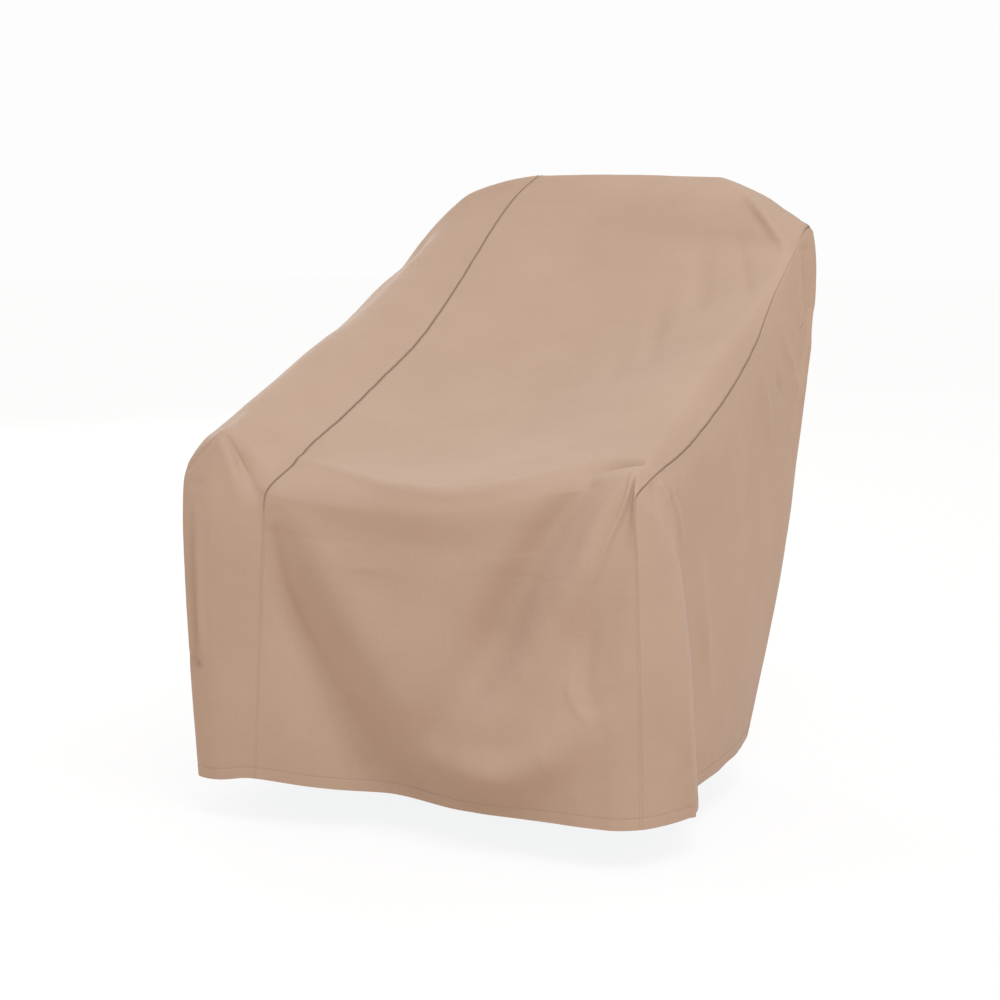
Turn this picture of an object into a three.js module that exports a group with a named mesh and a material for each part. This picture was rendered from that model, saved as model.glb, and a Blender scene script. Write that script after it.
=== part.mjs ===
// A fitted cloth cover for a patio chair, in the shape in which it hangs over the chair. The front sags in
// a swag between the two arm corners, the lap and the back rest rise in a shallow trough to a level ridge,
// and the back falls plainly to its hem. It hangs a little askew, further to the right at the top.
//
// Lengths are in millimetres. Heights run up from the ground under the chair, depths run back from the line
// of its front feet, and +X is to the right of a person who faces the front. The group is moved at the end,
// so that its origin lies under the ridge, where the cover rests on the top of the chair's back.
//
// The cover is cut from three panels. The centre panel runs from the front hem over the lap, the back rest
// and the ridge, down to the rear hem. Each side panel turns in round the front corner, over the arm and
// round the rear corner, and meets the centre panel at a long seam.

import * as THREE from 'three';
import { mergeGeometries, mergeVertices } from 'three/addons/utils/BufferGeometryUtils.js';

const CLOTH_THICKNESS = 2;
const SEAM_GAP = 0.45;
const MERGE_DISTANCE = 0.01;

// The place under the ridge where the chair's back holds the cover up.
const RIDGE_DEPTH = 806;
const RIDGE_HEIGHT = 1015;

// How finely each stretch of cloth is divided.
const FRONT_ROWS = 15;
const TOP_ROWS = 28;
const CENTRE_COLUMNS = 30;
const LEFT_COLUMNS = 8;
const RIGHT_COLUMNS = 6;

const CLOTH_MATERIAL = { color: 0xc2a38a, roughness: 0.82, metalness: 0, side: THREE.DoubleSide };

// Nine rails run along the cover from the front hem to the rear hem. across is where each one lies on the
// flat cloth, measured sideways from the middle of the centre panel.
const RAILS = [
  { name: 'leftWall', across: -560 },
  { name: 'leftCorner', across: -480 },
  { name: 'leftCrest', across: -400 },
  { name: 'leftSeam', across: -270 },
  { name: 'centre', across: 0 },
  { name: 'rightCrest', across: 300 },
  { name: 'rightSeam', across: 350 },
  { name: 'rightCorner', across: 410 },
  { name: 'rightWall', across: 500 },
];

// One row for each section of the cover, with the place [x, depth, height] at which each rail crosses it.
// along runs from 0 to 1 up the front, from 1 to 2 over the arms, lap and back rest to the ridge, and from
// 2 to 3 down the back. At 1 and 2 a section turns the front and rear corners of the side panels.
const SECTIONS = [
  {
    name: 'front hem', along: 0,
    leftWall: [-430, 45, 62], leftCorner: [-409, -30, 62], leftCrest: [-352, -55, 67],
    leftSeam: [-292, -56, 75], centre: [0, -45, 58], rightCrest: [325, -84, 66],
    rightSeam: [374, -58, 66], rightCorner: [413, 52, 64], rightWall: [368, 180, 71],
  },
  {
    name: 'front skirt', along: 0.5,
    leftWall: [-446, 40, 300], leftCorner: [-424, -30, 300], leftCrest: [-365, -54, 300],
    leftSeam: [-286, -48, 300], centre: [0, -52, 300], rightCrest: [325, -66, 300],
    rightSeam: [367, -55, 300], rightCorner: [403, 35, 300], rightWall: [368, 150, 300],
  },
  {
    name: 'under the arms', along: 0.85,
    leftWall: [-448, 40, 460], leftCorner: [-431, -28, 470], leftCrest: [-368, -48, 500],
    leftSeam: [-282, -44, 455], centre: [0, -54, 450], rightCrest: [333, -50, 470],
    rightSeam: [358, -48, 476], rightCorner: [387, 28, 440], rightWall: [366, 122, 430],
  },
  {
    name: 'arm corners', along: 1,
    leftWall: [-447, 45, 520], leftCorner: [-432, -14, 570], leftCrest: [-369, -10, 628],
    leftSeam: [-277, -37, 534], centre: [0, -60, 520], rightCrest: [343, -14, 600],
    rightSeam: [352, -40, 566], rightCorner: [377, 22, 515], rightWall: [366, 98, 476],
  },
  {
    name: 'front edge of the lap', along: 1.06,
    leftWall: [-448, 95, 542], leftCorner: [-434, 40, 590], leftCrest: [-371, 40, 641],
    leftSeam: [-247, 18, 583], centre: [0, -46, 560], rightCrest: [341, 22, 613],
    rightSeam: [357, 12, 588], rightCorner: [368, 50, 548], rightWall: [366, 125, 502],
  },
  {
    name: 'front of the arms', along: 1.2,
    leftWall: [-448, 190, 575], leftCorner: [-433, 170, 621], leftCrest: [-374, 170, 679],
    leftSeam: [-246, 165, 632], centre: [0, 120, 590], rightCrest: [328, 158, 655],
    rightSeam: [357, 150, 613], rightCorner: [366, 165, 574], rightWall: [368, 188, 522],
  },
  {
    name: 'middle of the arms', along: 1.4,
    leftWall: [-446, 335, 624], leftCorner: [-433, 325, 677], leftCrest: [-375, 330, 727],
    leftSeam: [-251, 330, 683], centre: [0, 300, 640], rightCrest: [325, 330, 725],
    rightSeam: [359, 330, 672], rightCorner: [366, 335, 628], rightWall: [368, 345, 565],
  },
  {
    name: 'foot of the back rest', along: 1.6,
    leftWall: [-440, 485, 681], leftCorner: [-426, 480, 733], leftCrest: [-371, 485, 773],
    leftSeam: [-252, 490, 740], centre: [0, 470, 706], rightCrest: [330, 480, 779],
    rightSeam: [355, 495, 746], rightCorner: [366, 502, 690], rightWall: [368, 510, 635],
  },
  {
    name: 'middle of the back rest', along: 1.78,
    leftWall: [-430, 610, 747], leftCorner: [-412, 620, 803], leftCrest: [-357, 630, 842],
    leftSeam: [-240, 635, 835], centre: [0, 620, 800], rightCrest: [328, 612, 836],
    rightSeam: [350, 622, 830], rightCorner: [360, 632, 775], rightWall: [364, 645, 715],
  },
  {
    name: 'top of the back rest', along: 1.9,
    leftWall: [-418, 700, 796], leftCorner: [-394, 712, 857], leftCrest: [-338, 725, 905],
    leftSeam: [-218, 735, 929], centre: [0, 725, 905], rightCrest: [330, 708, 893],
    rightSeam: [351, 736, 900], rightCorner: [358, 745, 850], rightWall: [363, 745, 780],
  },
  {
    name: 'front of the ridge', along: 1.97,
    leftWall: [-412, 745, 825], leftCorner: [-385, 755, 890], leftCrest: [-318, 770, 955],
    leftSeam: [-190, 784, 985], centre: [0, 783, 995], rightCrest: [243, 770, 983],
    rightSeam: [356, 778, 930], rightCorner: [364, 776, 882], rightWall: [370, 767, 800],
  },
  {
    name: 'ridge', along: 2,
    leftWall: [-408, 765, 835], leftCorner: [-380, 775, 895], leftCrest: [-294, 788, 978],
    leftSeam: [-162, 802, 1011], centre: [0, RIDGE_DEPTH, RIDGE_HEIGHT], rightCrest: [184, 802, 1013],
    rightSeam: [356, 796, 929], rightCorner: [366, 790, 876], rightWall: [372, 772, 800],
  },
  {
    name: 'behind the ridge', along: 2.12,
    leftWall: [-410, 755, 780], leftCorner: [-392, 785, 800], leftCrest: [-330, 818, 885],
    leftSeam: [-178, 838, 915], centre: [0, 843, 918], rightCrest: [200, 838, 912],
    rightSeam: [330, 819, 884], rightCorner: [363, 799, 850], rightWall: [371, 758, 770],
  },
  {
    name: 'middle of the back', along: 2.55,
    leftWall: [-428, 640, 450], leftCorner: [-412, 690, 450], leftCrest: [-365, 722, 455],
    leftSeam: [-220, 732, 455], centre: [0, 735, 455], rightCrest: [240, 732, 455],
    rightSeam: [314, 722, 455], rightCorner: [359, 696, 455], rightWall: [366, 638, 450],
  },
  {
    name: 'rear hem', along: 3,
    leftWall: [-402, 520, 66], leftCorner: [-378, 570, 66], leftCrest: [-330, 592, 68],
    leftSeam: [-200, 600, 70], centre: [0, 604, 70], rightCrest: [214, 600, 70],
    rightSeam: [276, 592, 72], rightCorner: [324, 573, 76], rightWall: [342, 514, 74],
  },
];

// Places between the front and rear corners through which the hem of each side passes.
const LEFT_HEM = [[-436, 200, 65], [-426, 380, 66]];
const RIGHT_HEM = [[369, 269, 72], [361, 390, 73]];

// The folds. Each one follows a path over the cloth, widens from the first to the second width, and lifts
// the cloth outwards, or draws it in where lift is negative. lift is spread evenly along the path.
const FOLDS = [
  {
    name: 'left trough of the swag', width: [34, 84], lift: [-4, -20, -32, -38],
    path: [[-270, -42, 490], [-212, -45, 330], [-140, -47, 195], [-70, -48, 70]],
  },
  {
    name: 'left roll of the swag', width: [36, 80], lift: [4, 14, 18, 16],
    path: [[-205, -45, 490], [-95, -50, 330], [0, -50, 205], [90, -50, 120]],
  },
  {
    name: 'right trough of the swag', width: [26, 48], lift: [-16, -16, -18, -12],
    path: [[262, -25, 588], [160, -52, 425], [100, -56, 295], [40, -51, 185]],
  },
  {
    name: 'right roll of the swag', width: [24, 50], lift: [2, 12, 18, 14],
    path: [[325, -45, 540], [262, -58, 425], [200, -60, 305], [110, -56, 190]],
  },
  {
    name: 'lip of the pocket', width: [34, 38], lift: [10, 26, 24, 6],
    path: [[45, -50, 138], [143, -60, 128], [222, -70, 160], [303, -72, 228]],
  },
  {
    name: 'hem drawn in under the pocket', width: [42, 36], lift: [-8, -16, -6],
    path: [[-60, -48, 62], [80, -55, 60], [230, -70, 60]],
  },
  {
    name: 'hollow under the edge of the lap', width: [30, 30], lift: [0, -5, -7, -7, -5, 0],
    path: [[-250, -40, 520], [-164, -50, 500], [-53, -54, 485], [40, -54, 478], [120, -52, 490], [200, -46, 525]],
  },
  {
    name: 'belly of the front', width: [56, 60], lift: [0, 8, 10],
    path: [[-60, -52, 400], [10, -52, 330], [60, -52, 260]],
  },
  {
    name: 'bulge of the pocket', width: [46, 46], lift: [7, 10, 6],
    path: [[150, -60, 200], [210, -65, 215], [255, -68, 265]],
  },
  {
    name: 'hollow of the left shoulder', width: [30, 30], lift: [-4, -10, -9, -3],
    path: [[-325, 772, 952], [-360, 745, 910], [-383, 712, 872], [-382, 640, 840]],
  },
  {
    name: 'swell of the rear right corner', width: [34, 38], lift: [0, 5, 5, 3, 0],
    path: [[370, 765, 790], [370, 745, 735], [369, 722, 668], [367, 705, 600], [366, 690, 520]],
  },
  {
    name: 'dent at the right arm', width: [16, 30], lift: [-13, -12, -3],
    path: [[320, 20, 612], [284, -16, 590], [235, -45, 520]],
  },
  {
    name: 'trough beside the left arm', width: [18, 20], lift: [-8, -12, -6],
    path: [[-358, -14, 616], [-322, -23, 578], [-284, -38, 524]],
  },
  {
    name: 'roll under the left arm', width: [18, 20], lift: [3, 7, 6, 0],
    path: [[-368, -14, 618], [-350, -40, 570], [-338, -46, 520], [-335, -48, 450]],
  },
  {
    name: 'fold at the right shoulder', width: [18, 18], lift: [2, 10, 5],
    path: [[242, 773, 985], [290, 742, 942], [335, 713, 896]],
  },
  {
    name: 'hollow behind the shoulder fold', width: [24, 22], lift: [-9, -7],
    path: [[300, 785, 955], [345, 745, 905]],
  },
  {
    name: 'wrinkle beside the shoulder', width: [18, 26], lift: [0, -7, -4, 0],
    path: [[175, 725, 916], [205, 640, 850], [241, 545, 792]],
  },
  {
    name: 'wrinkle in the back rest', width: [18, 20], lift: [0, -6, -1],
    path: [[135, 610, 809], [157, 530, 765], [185, 430, 730]],
  },
  {
    name: 'front fold of the right side', width: [20, 26], lift: [0, 7, 0],
    path: [[368, 200, 470], [371, 221, 305], [372, 256, 170]],
  },
  {
    name: 'hollow of the right side', width: [24, 38], lift: [0, -7, 0],
    path: [[368, 440, 600], [370, 437, 520], [372, 420, 360]],
  },
  {
    name: 'front fold of the left side', width: [34, 55], lift: [0, 8, 10],
    path: [[-447, 150, 560], [-446, 170, 330], [-440, 180, 90]],
  },
  {
    name: 'hollow of the left side', width: [40, 55], lift: [0, -9, -10],
    path: [[-446, 300, 600], [-447, 290, 380], [-440, 270, 100]],
  },
  {
    name: 'rear fold of the left side', width: [36, 60], lift: [0, 9, 8],
    path: [[-440, 470, 690], [-442, 430, 420], [-432, 390, 90]],
  },
  {
    name: 'left fold of the back', width: [34, 60], lift: [0, 9, 12],
    path: [[-90, 842, 860], [-110, 735, 450], [-120, 602, 80]],
  },
  {
    name: 'hollow of the back', width: [38, 60], lift: [0, -8, -12],
    path: [[30, 843, 870], [40, 734, 450], [60, 604, 80]],
  },
  {
    name: 'right fold of the back', width: [30, 55], lift: [0, 8, 10],
    path: [[170, 840, 880], [190, 733, 450], [180, 603, 80]],
  },
];

// A smooth curve through points at given knots. It is level at each high and low of a coordinate, so it
// never swings past the points.
class KnotCurve extends THREE.Curve {
  constructor(knots, points) {
    super();
    this.knots = knots;
    this.points = points;
    this.slopes = points.map(() => new THREE.Vector3());
    for (const axis of ['x', 'y', 'z']) {
      this.setSlopes(axis);
    }
  }

  setSlopes(axis) {
    const { knots, points, slopes } = this;
    const last = points.length - 1;
    const rise = (i) => (points[i + 1][axis] - points[i][axis]) / (knots[i + 1] - knots[i]);
    for (let i = 1; i < last; i += 1) {
      const before = knots[i] - knots[i - 1];
      const after = knots[i + 1] - knots[i];
      const turns = rise(i - 1) * rise(i) <= 0;
      const weighted = (2 * after + before) / rise(i - 1) + (after + 2 * before) / rise(i);
      slopes[i][axis] = turns ? 0 : (3 * (before + after)) / weighted;
    }
    slopes[0][axis] = 1.5 * rise(0) - 0.5 * slopes[1][axis];
    slopes[last][axis] = 1.5 * rise(last - 1) - 0.5 * slopes[last - 1][axis];
  }

  getPoint(knot, target = new THREE.Vector3()) {
    const { knots, points, slopes } = this;
    let i = 0;
    while (i < knots.length - 2 && knot >= knots[i + 1]) {
      i += 1;
    }
    const span = knots[i + 1] - knots[i];
    const share = (knot - knots[i]) / span;
    const rest = 1 - share;
    return target.set(0, 0, 0)
      .addScaledVector(points[i], (1 + 2 * share) * rest * rest)
      .addScaledVector(slopes[i], share * rest * rest * span)
      .addScaledVector(points[i + 1], share * share * (1 + 2 * rest))
      .addScaledVector(slopes[i + 1], -share * share * rest * span);
  }
}

const toVector = (place) => new THREE.Vector3(...place);

const railAcross = RAILS.map((rail) => rail.across);
const sectionAlong = SECTIONS.map((section) => section.along);
const rails = RAILS.map((rail) => {
  const places = SECTIONS.map((section) => toVector(section[rail.name]));
  return new KnotCurve(sectionAlong, places);
});

// The unfolded lie of the cloth, as one curve across the cover for each place along it.
function sectionAt(along) {
  return new KnotCurve(railAcross, rails.map((rail) => rail.getPoint(along)));
}

// The places along the cover at which every grid has a row, from the front hem to the rear hem.
function rowPlaces() {
  const places = [];
  for (let i = 0; i < FRONT_ROWS; i += 1) {
    places.push(i / FRONT_ROWS);
  }
  for (let i = 0; i < TOP_ROWS; i += 1) {
    places.push(1 + i / TOP_ROWS);
  }
  for (let i = 0; i <= FRONT_ROWS; i += 1) {
    places.push(2 + i / FRONT_ROWS);
  }
  return places;
}

// A grid whose points are placed by their column, from the left, and their row, from the top, seen from
// outside the cover.
function gridGeometry(columns, rows, placePoint) {
  const grid = new THREE.PlaneGeometry(1, 1, columns, rows);
  grid.deleteAttribute('normal');
  grid.deleteAttribute('uv');
  const position = grid.getAttribute('position');
  for (let i = 0; i < position.count; i += 1) {
    const point = placePoint(i % (columns + 1), Math.floor(i / (columns + 1)));
    position.setXYZ(i, point.x, point.y, point.z);
  }
  return grid;
}

// The strip of cloth between two rails, from the front hem over the top to the rear hem.
function stripGeometry(fromRail, toRail, columns) {
  const start = RAILS.find((rail) => rail.name === fromRail).across;
  const end = RAILS.find((rail) => rail.name === toRail).across;
  const sections = rowPlaces().map(sectionAt).reverse();
  const across = (column) => THREE.MathUtils.lerp(start, end, column / columns);
  const placePoint = (column, row) => sections[row].getPoint(across(column));
  return gridGeometry(columns, sections.length - 1, placePoint);
}

// The flat part of a side, inside the frame made by its wall rail and its hem. Each point blends the four
// edges around it.
function wallGeometry(railName, hemPlaces) {
  const rail = rails[RAILS.findIndex((candidate) => candidate.name === railName)];
  const hemPoints = [rail.getPoint(0), ...hemPlaces.map(toVector), rail.getPoint(3)];
  const hem = new KnotCurve(hemPoints.map((_, i) => i / (hemPoints.length - 1)), hemPoints);
  const blend = (back, down) => new THREE.Vector3()
    .addScaledVector(rail.getPoint(1 + back), 1 - down)
    .addScaledVector(hem.getPoint(back), down)
    .addScaledVector(rail.getPoint(1 - down), 1 - back)
    .addScaledVector(rail.getPoint(2 + down), back)
    .addScaledVector(rail.getPoint(1), -(1 - back) * (1 - down))
    .addScaledVector(rail.getPoint(2), -back * (1 - down))
    .addScaledVector(rail.getPoint(0), -(1 - back) * down)
    .addScaledVector(rail.getPoint(3), -back * down);
  const isLeft = railName === 'leftWall';
  return gridGeometry(TOP_ROWS, FRONT_ROWS, (column, row) => {
    const back = column / TOP_ROWS;
    return blend(isLeft ? 1 - back : back, row / FRONT_ROWS);
  });
}

// A fold as a function of a point: how far it moves the cloth there.
function foldLift(fold) {
  const path = fold.path.map(toVector);
  const pieces = path.slice(1).map((end, i) => new THREE.Line3(path[i], end));
  const lengths = pieces.map((piece) => piece.distance());
  const total = lengths.reduce((sum, length) => sum + length, 0);
  const nearest = new THREE.Vector3();
  return (point) => {
    let best = Infinity;
    let place = 0;
    let passed = 0;
    pieces.forEach((piece, i) => {
      const share = piece.closestPointToPointParameter(point, true);
      const distance = piece.at(share, nearest).distanceTo(point);
      if (distance < best) {
        best = distance;
        place = (passed + share * lengths[i]) / total;
      }
      passed += lengths[i];
    });
    const width = THREE.MathUtils.lerp(fold.width[0], fold.width[1], place);
    const step = place * (fold.lift.length - 1);
    const before = Math.min(Math.floor(step), fold.lift.length - 2);
    const lift = THREE.MathUtils.lerp(fold.lift[before], fold.lift[before + 1], step - before);
    return lift * Math.exp(-((best / width) ** 2));
  };
}

// The middle surface of the whole cover, with its folds. The geometry keeps a group for each grid.
function foldedSheet(grids) {
  const sheet = mergeVertices(mergeGeometries(grids, true), MERGE_DISTANCE);
  sheet.computeVertexNormals();
  const lifts = FOLDS.map(foldLift);
  const position = sheet.getAttribute('position');
  const normal = sheet.getAttribute('normal');
  const point = new THREE.Vector3();
  const outward = new THREE.Vector3();
  for (let i = 0; i < position.count; i += 1) {
    point.fromBufferAttribute(position, i);
    outward.fromBufferAttribute(normal, i);
    const lift = lifts.reduce((sum, liftAt) => sum + liftAt(point), 0);
    point.addScaledVector(outward, lift);
    position.setXYZ(i, point.x, point.y, point.z);
  }
  sheet.computeVertexNormals();
  return sheet;
}

// The corners of the triangles of some of a sheet's grids, in threes.
function trianglesOf(sheet, gridNumbers) {
  const corners = [];
  for (const number of gridNumbers) {
    const { start, count } = sheet.groups[number];
    for (let i = start; i < start + count; i += 1) {
      corners.push(sheet.index.getX(i));
    }
  }
  return corners;
}

// The edges that belong to one triangle only, each in the direction in which its triangle runs.
function borderEdges(triangles) {
  const edges = new Map();
  for (let i = 0; i < triangles.length; i += 3) {
    for (let k = 0; k < 3; k += 1) {
      const start = triangles[i + k];
      const end = triangles[i + ((k + 1) % 3)];
      if (!edges.delete(`${end} ${start}`)) {
        edges.set(`${start} ${end}`, [start, end]);
      }
    }
  }
  return [...edges.values()];
}

// For each corner of a seam, the move within the cloth that sets a panel's edge back from it by a
// distance. edges are the panel's own, so the panel lies to the left of each one, seen from outside.
function seamSetBack(sheet, edges, seamCorners, distance) {
  const position = sheet.getAttribute('position');
  const normal = sheet.getAttribute('normal');
  const setBack = new Map();
  for (const [start, end] of edges.filter((edge) => edge.every((corner) => seamCorners.has(corner)))) {
    const run = new THREE.Vector3().fromBufferAttribute(position, end)
      .sub(new THREE.Vector3().fromBufferAttribute(position, start));
    for (const corner of [start, end]) {
      const inward = new THREE.Vector3().fromBufferAttribute(normal, corner).cross(run).normalize();
      setBack.set(corner, [...(setBack.get(corner) ?? []), inward]);
    }
  }
  for (const [corner, inwards] of setBack) {
    const first = inwards[0];
    const last = inwards[inwards.length - 1];
    const move = first.clone().add(last).multiplyScalar(distance / (1 + first.dot(last)));
    setBack.set(corner, move);
  }
  return setBack;
}

// A panel as a closed sheet of cloth: an outer face, an inner face and the cut edge between them. Where it
// meets another panel its edge stays back by half the seam gap.
function panelMesh(name, sheet, gridNumbers, seamCorners) {
  const triangles = trianglesOf(sheet, gridNumbers);
  const edges = borderEdges(triangles);
  const setBack = seamSetBack(sheet, edges, seamCorners, SEAM_GAP / 2);
  const corners = [...new Set(triangles)];
  const outer = new Map(corners.map((corner, i) => [corner, i]));
  const inner = new Map(corners.map((corner, i) => [corner, i + corners.length]));
  const position = sheet.getAttribute('position');
  const normal = sheet.getAttribute('normal');
  const outerPlaces = [];
  const innerPlaces = [];
  for (const corner of corners) {
    const point = new THREE.Vector3().fromBufferAttribute(position, corner);
    const outward = new THREE.Vector3().fromBufferAttribute(normal, corner);
    if (setBack.has(corner)) {
      point.add(setBack.get(corner));
    }
    outerPlaces.push(...point.addScaledVector(outward, CLOTH_THICKNESS / 2).toArray());
    innerPlaces.push(...point.addScaledVector(outward, -CLOTH_THICKNESS).toArray());
  }
  const index = [];
  for (let i = 0; i < triangles.length; i += 3) {
    const [a, b, c] = triangles.slice(i, i + 3);
    index.push(outer.get(a), outer.get(b), outer.get(c));
    index.push(inner.get(a), inner.get(c), inner.get(b));
  }
  // The diagonal of the cut edge is the same in both panels at a seam.
  for (const [a, b] of edges) {
    if (a < b) {
      index.push(outer.get(b), outer.get(a), inner.get(b));
      index.push(outer.get(a), inner.get(a), inner.get(b));
    } else {
      index.push(outer.get(b), outer.get(a), inner.get(a));
      index.push(outer.get(b), inner.get(a), inner.get(b));
    }
  }
  const geometry = new THREE.BufferGeometry();
  const places = new THREE.Float32BufferAttribute([...outerPlaces, ...innerPlaces], 3);
  geometry.setAttribute('position', places);
  geometry.setIndex(index);
  geometry.computeVertexNormals();
  const mesh = new THREE.Mesh(geometry, new THREE.MeshStandardMaterial(CLOTH_MATERIAL));
  mesh.name = name;
  return mesh;
}

// The corners of the sheet that more than one panel uses.
function sharedCorners(sheet, panels) {
  const seen = new Set();
  const shared = new Set();
  for (const panel of panels) {
    const own = new Set(trianglesOf(sheet, panel.grids));
    own.forEach((corner) => (seen.has(corner) ? shared : seen).add(corner));
  }
  return shared;
}

function buildCover() {
  const grids = [
    stripGeometry('leftSeam', 'rightSeam', CENTRE_COLUMNS),
    stripGeometry('leftWall', 'leftSeam', LEFT_COLUMNS),
    wallGeometry('leftWall', LEFT_HEM),
    stripGeometry('rightSeam', 'rightWall', RIGHT_COLUMNS),
    wallGeometry('rightWall', RIGHT_HEM),
  ];
  const panels = [
    { name: 'centre_panel', grids: [0] },
    { name: 'left_side_panel', grids: [1, 2] },
    { name: 'right_side_panel', grids: [3, 4] },
  ];
  const sheet = foldedSheet(grids);
  const seamCorners = sharedCorners(sheet, panels);
  const cover = new THREE.Group();
  cover.name = 'patio_chair_cover';
  for (const panel of panels) {
    cover.add(panelMesh(panel.name, sheet, panel.grids, seamCorners));
  }
  cover.position.set(0, -RIDGE_DEPTH, CLOTH_THICKNESS / 2 - RIDGE_HEIGHT);
  return cover;
}

export default buildCover();
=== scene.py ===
"""A fitted cloth cover for a patio chair, as it hangs over the chair.

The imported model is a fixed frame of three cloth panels: a long centre panel and two side panels. Each panel
is drawn here again as a fine sheet on the same rails and folds, with its narrow creases, its seam grooves,
its stitched hem and a woven finish.

Sizes in the tables are millimetres in the chair's own frame: x to the right, y back from the line of the
front feet, and z up from the ground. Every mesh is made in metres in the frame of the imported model.
"""

from __future__ import annotations

import logging
import math
from dataclasses import dataclass, field
from enum import Enum
from typing import Sequence

import bmesh
import bpy
import numpy as np
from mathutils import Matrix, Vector, noise


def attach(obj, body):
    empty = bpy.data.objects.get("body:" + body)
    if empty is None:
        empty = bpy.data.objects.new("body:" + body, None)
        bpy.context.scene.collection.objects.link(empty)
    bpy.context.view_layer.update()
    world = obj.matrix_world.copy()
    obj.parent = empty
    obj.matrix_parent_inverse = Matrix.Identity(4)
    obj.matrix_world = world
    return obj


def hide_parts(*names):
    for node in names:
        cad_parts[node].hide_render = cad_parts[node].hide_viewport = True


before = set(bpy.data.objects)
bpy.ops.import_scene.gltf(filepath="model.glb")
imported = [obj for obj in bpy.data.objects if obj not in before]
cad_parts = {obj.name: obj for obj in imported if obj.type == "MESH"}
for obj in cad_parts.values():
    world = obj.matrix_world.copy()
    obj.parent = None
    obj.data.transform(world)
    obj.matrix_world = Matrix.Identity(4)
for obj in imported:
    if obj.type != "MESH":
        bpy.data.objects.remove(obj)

LOG = logging.getLogger("chair_cover")

MM = 0.001

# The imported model's origin in the chair's frame, and sizes that several classes share, in millimetres.
ORIGIN = np.array([0.0, 806.0, 1014.0])
THICKNESS = 2.0
HEM_BAND = 18.0
NO_SEAM = 1000.0

Place = tuple[float, float, float]
Colour = tuple[float, float, float, float]
Socket = bpy.types.NodeSocket
Inputs = dict[str | int, object]
WHITE: Colour = (1.0, 1.0, 1.0, 1.0)


class Panel(Enum):
    """The cut panels of the cover, each with the name of its node."""

    CENTRE = "centre_panel"
    LEFT = "left_side_panel"
    RIGHT = "right_side_panel"


class Rail(Enum):
    """The rails that run from the front hem to the rear hem, each with its place across the flat cloth."""

    LEFT_WALL = -560.0
    LEFT_CORNER = -480.0
    LEFT_CREST = -400.0
    LEFT_SEAM = -270.0
    CENTRE = 0.0
    RIGHT_CREST = 300.0
    RIGHT_SEAM = 350.0
    RIGHT_CORNER = 410.0
    RIGHT_WALL = 500.0


# Where the rails cross each section, in the order of Rail. The sections are numbered from 0 to 1 up the
# front, to 2 over the top and to 3 down the back.
SECTIONS: dict[float, tuple[Place, ...]] = {
    0.0: ((-430, 45, 62), (-409, -30, 62), (-352, -55, 67), (-292, -56, 75), (0, -45, 58),
          (325, -84, 66), (374, -58, 66), (413, 52, 64), (368, 180, 71)),
    0.5: ((-446, 40, 300), (-424, -30, 300), (-365, -54, 300), (-286, -48, 300), (0, -52, 300),
          (325, -66, 300), (367, -55, 300), (403, 35, 300), (368, 150, 300)),
    0.85: ((-448, 40, 460), (-431, -28, 470), (-368, -48, 500), (-282, -44, 455), (0, -54, 450),
           (333, -50, 470), (358, -48, 476), (387, 28, 440), (366, 122, 430)),
    1.0: ((-447, 45, 520), (-432, -14, 570), (-369, -10, 628), (-277, -37, 534), (0, -60, 520),
          (343, -14, 600), (352, -40, 566), (377, 22, 515), (366, 98, 476)),
    1.06: ((-448, 95, 542), (-434, 40, 590), (-371, 40, 641), (-247, 18, 583), (0, -46, 560),
           (341, 22, 613), (357, 12, 588), (368, 50, 548), (366, 125, 502)),
    1.2: ((-448, 190, 575), (-433, 170, 621), (-374, 170, 679), (-246, 165, 632), (0, 120, 590),
          (328, 158, 655), (357, 150, 613), (366, 165, 574), (368, 188, 522)),
    1.4: ((-446, 335, 624), (-433, 325, 677), (-375, 330, 727), (-251, 330, 683), (0, 300, 640),
          (325, 330, 725), (359, 330, 672), (366, 335, 628), (368, 345, 565)),
    1.6: ((-440, 485, 681), (-426, 480, 733), (-371, 485, 773), (-252, 490, 740), (0, 470, 706),
          (330, 480, 779), (355, 495, 746), (366, 502, 690), (368, 510, 635)),
    1.78: ((-430, 610, 747), (-412, 620, 803), (-357, 630, 842), (-240, 635, 835), (0, 620, 800),
           (328, 612, 836), (350, 622, 830), (360, 632, 775), (364, 645, 715)),
    1.9: ((-418, 700, 796), (-394, 712, 857), (-338, 725, 905), (-218, 735, 929), (0, 725, 905),
          (330, 708, 893), (351, 736, 900), (358, 745, 850), (363, 745, 780)),
    1.97: ((-412, 745, 825), (-385, 755, 890), (-318, 770, 955), (-190, 784, 985), (0, 783, 995),
           (243, 770, 983), (356, 778, 930), (364, 776, 882), (370, 767, 800)),
    2.0: ((-408, 765, 835), (-380, 775, 895), (-294, 788, 978), (-162, 802, 1011), (0, 806, 1015),
          (184, 802, 1013), (356, 796, 929), (366, 790, 876), (372, 772, 800)),
    2.12: ((-410, 755, 780), (-392, 785, 800), (-330, 818, 885), (-178, 838, 915), (0, 843, 918),
           (200, 838, 912), (330, 819, 884), (363, 799, 850), (371, 758, 770)),
    2.55: ((-428, 640, 450), (-412, 690, 450), (-365, 722, 455), (-220, 732, 455), (0, 735, 455),
           (240, 732, 455), (314, 722, 455), (359, 696, 455), (366, 638, 450)),
    3.0: ((-402, 520, 66), (-378, 570, 66), (-330, 592, 68), (-200, 600, 70), (0, 604, 70),
          (214, 600, 70), (276, 592, 72), (324, 573, 76), (342, 514, 74)),
}

# Places between the corners of a wall through which its hem passes.
LEFT_HEM: tuple[Place, ...] = ((-436, 200, 65), (-426, 380, 66))
RIGHT_HEM: tuple[Place, ...] = ((369, 269, 72), (361, 390, 73))

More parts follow.
